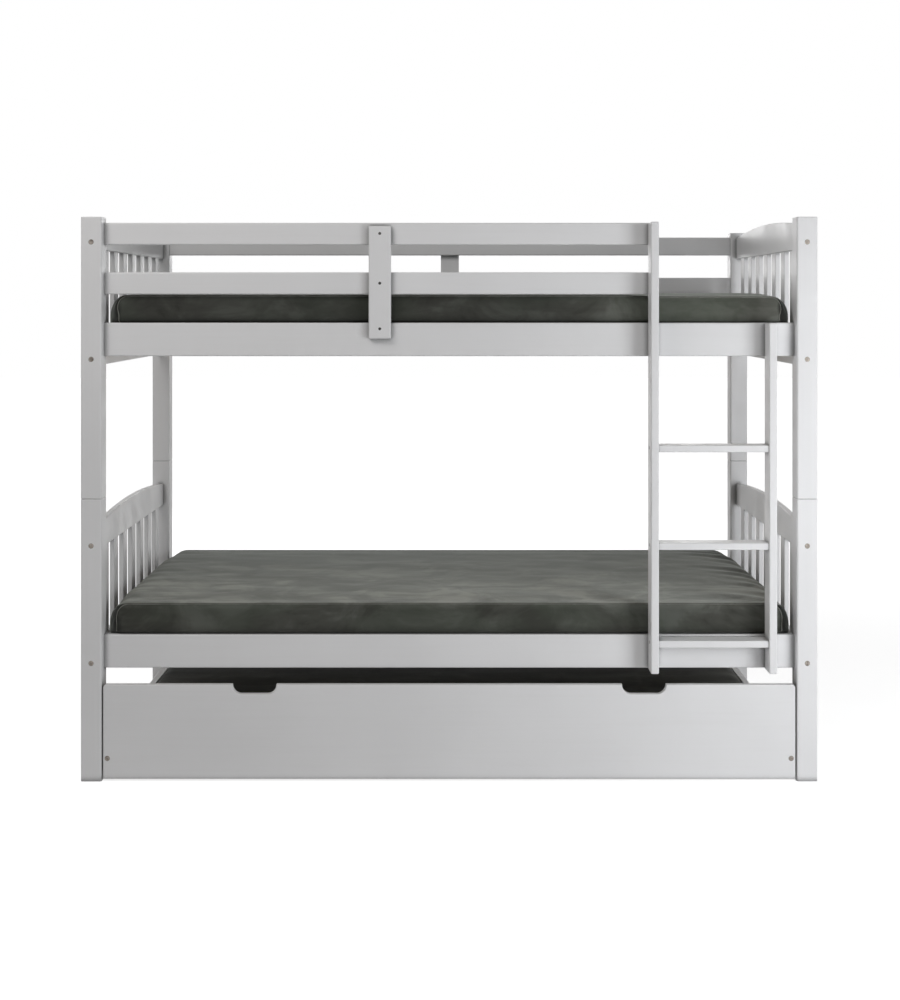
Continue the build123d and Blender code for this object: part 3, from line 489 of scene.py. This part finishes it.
class MattressForm:
    """The shape of one mattress: its size, its rounded edges and how its panels meet."""

    end_radius = 60 * millimetre
    middle_end_radius = 42 * millimetre
    panel_reach = 50 * millimetre
    radius_run = 140 * millimetre
    foot_radius = 12 * millimetre
    top_band = 3 * millimetre
    draw_in = 3 * millimetre
    end_swell = 5 * millimetre
    lip_height = 4 * millimetre
    lip_end_run = 45 * millimetre
    ladder_start, ladder_run = 0.42, 0.2
    seam_steps = 420

    def __init__(self, low, high, look, rail_height):
        self.low = Vector(low)
        self.centre = (Vector(low) + Vector(high)) / 2
        self.half_length = (high[0] - low[0]) / 2 + self.end_swell
        self.half_width = (high[1] - low[1]) / 2
        self.height = high[2] - low[2]
        self.front_drops = look["front_drops"]
        self.rear_drop = look["rear_drop"]
        self.sink = look["sink"]
        self.overhang = look["overhang"]
        self.end_band = look["end_band"]
        self.rail_height = rail_height

    def end_radius_at(self, y):
        """The radius of the upper end edges, tighter between the front and rear panels."""
        inside = smooth((self.half_width - np.abs(y) - self.panel_reach) / self.radius_run)
        return self.end_radius + (self.middle_end_radius - self.end_radius) * inside

    def inset(self, x, z):
        """How deep places lie inside the front outline, and the way outwards there."""
        upper = z > self.height / 2
        radius = np.where(upper, self.end_radius, self.foot_radius)
        from_end = self.half_length - np.abs(x)
        from_edge = np.where(upper, self.height - z, z)
        a, b = radius - from_end, radius - from_edge
        corner = (a > 0) & (b > 0)
        reach = np.where(corner, np.hypot(a, b), 1.0)
        depth = np.where(corner, radius - reach, np.minimum(from_end, from_edge))
        flat_end = from_end < from_edge
        nx = np.where(corner, a / reach, np.where(flat_end, 1.0, 0.0)) * np.sign(x)
        nz = np.where(corner, b / reach, np.where(flat_end, 0.0, 1.0)) * np.where(upper, 1, -1)
        return depth, nx, nz

    def band(self, nx, nz):
        """The width of the rounding between the front panel and the outline."""
        return self.end_band * nx**2 + self.top_band * nz**2

    def rounded(self, points):
        """A plain box's points, moved onto the mattress."""
        x, y, z = points[:, 0].copy(), points[:, 1].copy(), points[:, 2].copy()
        upper = z > self.height / 2
        radius = np.where(upper, self.end_radius_at(y), self.foot_radius)
        edge_z = np.where(upper, self.height - z, z)
        a, b = radius - (self.half_length - np.abs(x)), radius - edge_z
        corner = (a > 0) & (b > 0)
        scale = np.where(corner, np.maximum(a, b) / np.maximum(np.hypot(a, b), 1e-9), 1.0)
        x = np.where(corner, np.sign(x) * (self.half_length - radius + a * scale), x)
        drop = radius - b * scale
        z = np.where(corner, np.where(upper, self.height - drop, drop), z)
        depth, nx, nz = self.inset(x, z)
        band = self.band(nx, nz)
        a, b = band - depth, band - (self.half_width - np.abs(y))
        corner = (a > 0) & (b > 0)
        scale = np.where(corner, np.maximum(a, b) / np.maximum(np.hypot(a, b), 1e-9), 1.0)
        shift = np.where(corner, a * scale - a, 0.0)
        x, z = x + nx * shift, z + nz * shift
        y = np.where(corner, np.sign(y) * (self.half_width - band + b * scale), y)
        return self.settled(np.stack([x, y, z], 1))

    def settled(self, points):
        """Crowns the top, draws the long sides in and lets them swell over the rails."""
        x, y, z = points.T
        across = y / self.half_width
        lift = np.clip(z / self.height, 0, 1)
        right = smooth((x - self.ladder_start) / self.ladder_run)
        at_left, at_right = self.front_drops
        drop = np.where(y < 0, at_left + (at_right - at_left) * right, self.rear_drop)
        z = z - (drop * across**2 + self.sink * (1 - right)) * lift
        draw = self.draw_in * (1 - (x / self.half_length) ** 2)
        y = y * (1 - (draw - self.swell(x, z)) / self.half_width)
        return np.stack([x, y, z], 1)

    def swell(self, x, z):
        """How far the long sides stand out above the rails, most just over them."""
        above = z - self.rail_height - millimetre
        room = self.height - self.rail_height
        rise = smooth(above / self.lip_height) * (1 - 0.5 * smooth(above / room))
        clear = smooth((self.half_length - np.abs(x)) / self.lip_end_run)
        return self.overhang * rise * clear

    def seam_path(self, side, proud):
        """The line where the front or rear panel meets the rest, from foot to foot."""
        turn = self.end_radius * math.pi / 2
        rise = self.height - self.end_radius
        run = 2 * (self.half_length - self.end_radius)
        path = []
        total = 2 * rise + 2 * turn + run
        for index in range(self.seam_steps + 1):
            s = total * index / self.seam_steps
            path.append(self.outline_point(s, rise, turn, run))
        x, z, nx, nz = np.array(path).T
        band = self.band(nx, nz)
        y = np.full_like(x, side * self.half_width)
        points = np.stack([x - nx * band, y, z - nz * band], 1)
        points = self.settled(points)
        points[:, 1] += side * proud
        return points

    def outline_point(self, s, rise, turn, run):
        """A place and direction on the outline, s along it from the left foot."""
        mirrored = s > rise + turn + run / 2
        total = 2 * rise + 2 * turn + run
        s = total - s if mirrored else s
        radius = self.end_radius
        if s < rise:
            x, z, nx, nz = -self.half_length, s, -1.0, 0.0
        elif s < rise + turn:
            angle = (s - rise) / radius
            nx, nz = -math.cos(angle), math.sin(angle)
            x = -self.half_length + radius + radius * nx
            z = rise + radius * nz
        else:
            x, z, nx, nz = -self.half_length + radius + (s - rise - turn), self.height, 0.0, 1.0
        return (-x, z, -nx, nz) if mirrored else (x, z, nx, nz)


def smooth(value):
    """A soft step from 0 to 1."""
    value = np.clip(value, 0, 1)
    return value * value * (3 - 2 * value)


def soft_field(x, y, rng, waves, length_x, length_y):
    """A smooth random surface of unit spread, with features of about the given lengths."""
    total = np.zeros_like(x)
    for _ in range(waves):
        kx = rng.normal() * math.pi / length_x
        ky = rng.normal() * math.pi / length_y
        total += np.cos(kx * x + ky * y + rng.uniform(0, 2 * math.pi))
    return total / math.sqrt(waves / 2)


def pull_creases(form, points, rng, side, depth, sweep):
    """The hollows of creases that run in from one end of the top, swept back by sweep."""
    x, y, z = points.T
    distance = form.half_length - side * x
    top = smooth((z - 0.55 * form.height) / (0.3 * form.height))
    hollow = np.zeros_like(x)
    count = 9
    scatter = 0.28
    pitch = 2 * form.half_width / count
    bend = 130 * millimetre
    for index in range(count + 1):
        shift = rng.uniform(-scatter, scatter)
        start = -form.half_width + (index + shift) * pitch - sweep * 0.4
        reach = rng.uniform(120, 270) * millimetre
        width = rng.uniform(15, 24) * millimetre
        line = start + sweep * (1 - np.exp(-np.maximum(distance, 0) / bend))
        at_edge = smooth((distance + 10 * millimetre) / (45 * millimetre))
        fade = smooth(1 - distance / reach) * at_edge
        ridge = 0.45 * np.exp(-(((y - line - 1.7 * width) / width) ** 2))
        hollow += rng.uniform(0.6, 1.0) * (np.exp(-(((y - line) / width) ** 2)) - ridge) * fade
    edge = smooth((form.half_width - np.abs(y)) / (40 * millimetre))
    return depth * hollow * top * edge


def relaxed(form, points, rng, creases):
    """Adds the creases, the slight waves of the top and the swell of the long panels."""
    x, y, z = points.T
    depth = np.zeros_like(x)
    for side, crease_depth, sweep in creases:
        depth += pull_creases(form, points, rng, side, crease_depth, sweep)
    top = smooth((z - 0.7 * form.height) / (0.2 * form.height))
    edge = smooth((form.half_width - np.abs(y)) / (50 * millimetre))
    wave = soft_field(x, y, rng, 24, 0.30, 0.07) * 0.55 * millimetre
    z = z - depth + wave * top * edge
    inset, nx, nz = form.inset(x, points[:, 2])
    facing = smooth((np.abs(y) - form.half_width + 9 * millimetre) / (6 * millimetre))
    panel = smooth((inset - form.band(nx, nz) - 4 * millimetre) / (18 * millimetre)) * facing
    swell = 0.6 * millimetre + soft_field(x, z, rng, 24, 0.10, 0.06) * 0.45 * millimetre
    y = y + np.sign(y) * panel * swell
    return np.stack([x, y, z], 1)


def mesh_object(name, points, faces, material):
    """A smooth-shaded object from points and faces."""
    mesh = bpy.data.meshes.new(name)
    mesh.from_pydata([tuple(point) for point in points], [], faces)
    mesh.polygons.foreach_set("use_smooth", [True] * len(mesh.polygons))
    mesh.materials.append(material)
    obj = bpy.data.objects.new(name, mesh)
    bpy.context.scene.collection.objects.link(obj)
    return obj


def inflated(form, points, quads):
    """The cover blown up a little by cloth simulation, with its foot, seams and long edges held."""
    obj = mesh_object("cover_trial", points, quads, None)
    held = obj.vertex_groups.new(name="held")
    inset, nx, nz = form.inset(points[:, 0], points[:, 2])
    on_panel = np.abs(points[:, 1]) > form.half_width - form.draw_in - 1.5 * millimetre
    near_seam = on_panel & (np.abs(inset - form.band(nx, nz)) < 4 * millimetre)
    foot = points[:, 2] < 3 * millimetre
    steps = 14
    top_travel, side_travel = 2 * millimetre, 1.2 * millimetre
    held.add([int(i) for i in np.flatnonzero(near_seam | foot)], 1.0, "REPLACE")
    cloth = obj.modifiers.new("cloth", "CLOTH")
    settings = cloth.settings
    settings.quality = 4
    settings.mass = 0.3
    settings.tension_stiffness = settings.compression_stiffness = 12
    settings.bending_stiffness = 0.6
    settings.use_pressure = True
    settings.uniform_pressure_force = 4
    settings.vertex_group_mass = held.name
    settings.effector_weights.gravity = 0
    cloth.collision_settings.use_collision = False
    scene = bpy.context.scene
    for step in range(steps):
        scene.frame_set(step + 1)
    graph = bpy.context.evaluated_depsgraph_get()
    moved = np.array([vertex.co for vertex in obj.evaluated_get(graph).data.vertices], float)
    scene.frame_set(1)
    bpy.data.objects.remove(obj)
    travel = moved - points
    length = np.maximum(np.linalg.norm(travel, axis=1, keepdims=True), 1e-9)
    crown = smooth((form.half_width - np.abs(points[:, 1:2]) - 20 * millimetre) / (90 * millimetre))
    allowed = np.where(points[:, 2:] > 0.9 * form.height, top_travel * crown, side_travel)
    travel *= np.minimum(1.0, allowed / length)
    return points + travel


def tube(path, radius, sides=8):
    """The points and faces of a closed tube along a path that lies about square to Y."""
    ahead = np.gradient(path, axis=0)
    ahead /= np.linalg.norm(ahead, axis=1, keepdims=True)
    across = np.tile((0.0, 1.0, 0.0), (len(path), 1))
    up = np.cross(ahead, across)
    up /= np.linalg.norm(up, axis=1, keepdims=True)
    angles = np.linspace(0, 2 * math.pi, sides, endpoint=False)
    beside, above = np.cos(angles)[None, :, None], np.sin(angles)[None, :, None]
    rings = path[:, None] + radius * (across[:, None] * beside + up[:, None] * above)
    faces = []
    for ring in range(len(path) - 1):
        for side in range(sides):
            after = (side + 1) % sides
            first, second = ring * sides, (ring + 1) * sides
            faces.append((first + side, second + side, second + after, first + after))
    faces.append(tuple(range(sides)))
    faces.append(tuple(range(len(path) * sides - 1, (len(path) - 1) * sides - 1, -1)))
    return rings.reshape(-1, 3), faces


def add_mattress(name, look, piping):
    """A mattress in place of its plain solid, with a corded seam round each long panel."""
    node_name, body, rail = f"{name}_mattress", look["body"], look["rail"]
    low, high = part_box(node_name)
    rail_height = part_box(rail)[1][2] - low[2] if rail else 0
    form = MattressForm(low, high, look, rail_height)
    rng = np.random.default_rng(look["seed"])
    points, quads = mattress_grid(form)
    points = form.rounded(points)
    points = inflated(form, points, quads)
    points = relaxed(form, points, rng, look["creases"])
    points[:, 2] = np.maximum(points[:, 2], 0)
    place = np.array([form.centre.x, form.centre.y, form.low.z])
    foot, top = form.low.z + rail_height, form.low.z + form.height
    fabric = mattress_fabric(f"plush_{node_name}", look, foot, top)
    cover = mesh_object(node_name + "_cover", points + place, quads, fabric)
    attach(cover, body)
    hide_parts(node_name)
    for row, side in (("front", -1), ("rear", 1)):
        path = form.seam_path(side, proud=0.2 * millimetre)
        path[:, 2] = np.maximum(path[:, 2], 2 * millimetre)
        ring_points, faces = tube(path + place, radius=1.1 * millimetre)
        cord = mesh_object(f"{node_name}_piping_{row}", ring_points, faces, piping)
        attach(cord, body)


def mattress_grid(form):
    """A plain box round a mattress's form, with a fine grid near its edges."""
    spans = (
        (-form.half_length, form.half_length, 16 * millimetre, 0.2),
        (-form.half_width, form.half_width, 11 * millimetre, 0.06),
        (0, form.height, 6 * millimetre, 0.04),
    )
    fine = 2.2 * millimetre
    return box_grid(*[steps_between(start, end, fine, *rest) for start, end, *rest in spans])


# How the three mattresses differ: the crown's drops and the sink, the swell over the rail, the
# seam's distance from the ends, the creases, and the tones' shade, painted light along X and sheen.

left, right = -1, 1
strong, faint = 8 * millimetre, 2 * millimetre
sweep = 150 * millimetre
mattress_looks = {
    "lower": {
        "body": "bed_frame",
        "rail": "lower_side_rail_front",
        "seed": 3,
        "front_drops": (-2 * millimetre, -2 * millimetre),
        "rear_drop": 7 * millimetre,
        "sink": 0,
        "overhang": 20 * millimetre,
        "end_band": 29 * millimetre,
        "creases": ((left, faint, 0), (right, strong, sweep)),
        "shade": 1,
        "painted_light_along_x": (-0.9, 0.9, 1, 1),
        "sheen": 0.55,
    },
    "upper": {
        "body": "bed_frame",
        "rail": "upper_side_rail_front",
        "seed": 5,
        "front_drops": (1.5 * millimetre, 9 * millimetre),
        "rear_drop": 6 * millimetre,
        "sink": 3 * millimetre,
        "overhang": 20 * millimetre,
        "end_band": 36 * millimetre,
        "creases": ((left, faint, 0), (right, faint, sweep)),
        "shade": 1,
        "painted_light_along_x": (0.2, 0.65, 0.66, 1.6),
        "sheen": 0.55,
    },
    "trundle": {
        "body": "trundle",
        "rail": None,
        "seed": 8,
        "front_drops": (8 * millimetre, 8 * millimetre),
        "rear_drop": 6 * millimetre,
        "sink": 0,
        "overhang": 0,
        "end_band": 32 * millimetre,
        "creases": ((left, faint, 0), (right, faint, 0)),
        # Painted shade: the trundle's tones darkened, as the space under the bed is dark.
        "shade": 0.3,
        "painted_light_along_x": (-0.9, 0.9, 1, 1),
        "sheen": 0.12,
    },
}


def add_mattresses():
    """The three mattresses, each with its own creases, crown and painted light along X."""
    piping = cord_fabric("plush_piping", (0.15, 0.15, 0.13), (0.20, 0.20, 0.18))
    for name, look in mattress_looks.items():
        add_mattress(name, look, piping)


# Each lamp's place, target, size, watts and colour.

cool, warm, plain = (0.965, 0.98, 1.0), (1.0, 0.975, 0.955), (1, 1, 1)
lamps = {
    "low_right": ((1.9, -1.9, 0.8), (0.9, -0.4, 0.5), (0.9, 1.2), 18.3, cool),
    "high_right": ((1.7, -2.0, 1.5), (0.8, -0.4, 0.8), (0.9, 1.6), 4.8, cool),
    "high_left": ((-1.4, -1.9, 2.9), (-0.5, -0.2, 0.4), (1.6, 1.2), 22.5, warm),
    "rear_left": ((-3.6, 2.6, 1.9), (0, 0, 0.8), (2.0, 1.4), 16, plain),
    "behind": ((0.1, 4.6, 1.9), (0, 0, 0.8), (3.2, 1.1), 24, plain),
}

bpy.context.scene.view_settings.view_transform = "Standard"
add_camera()
add_world(0.16, plain)
for lamp_name, lamp in lamps.items():
    add_area_light(lamp_name, *lamp)
add_floor()
dress_cad_nodes()
add_mattresses()
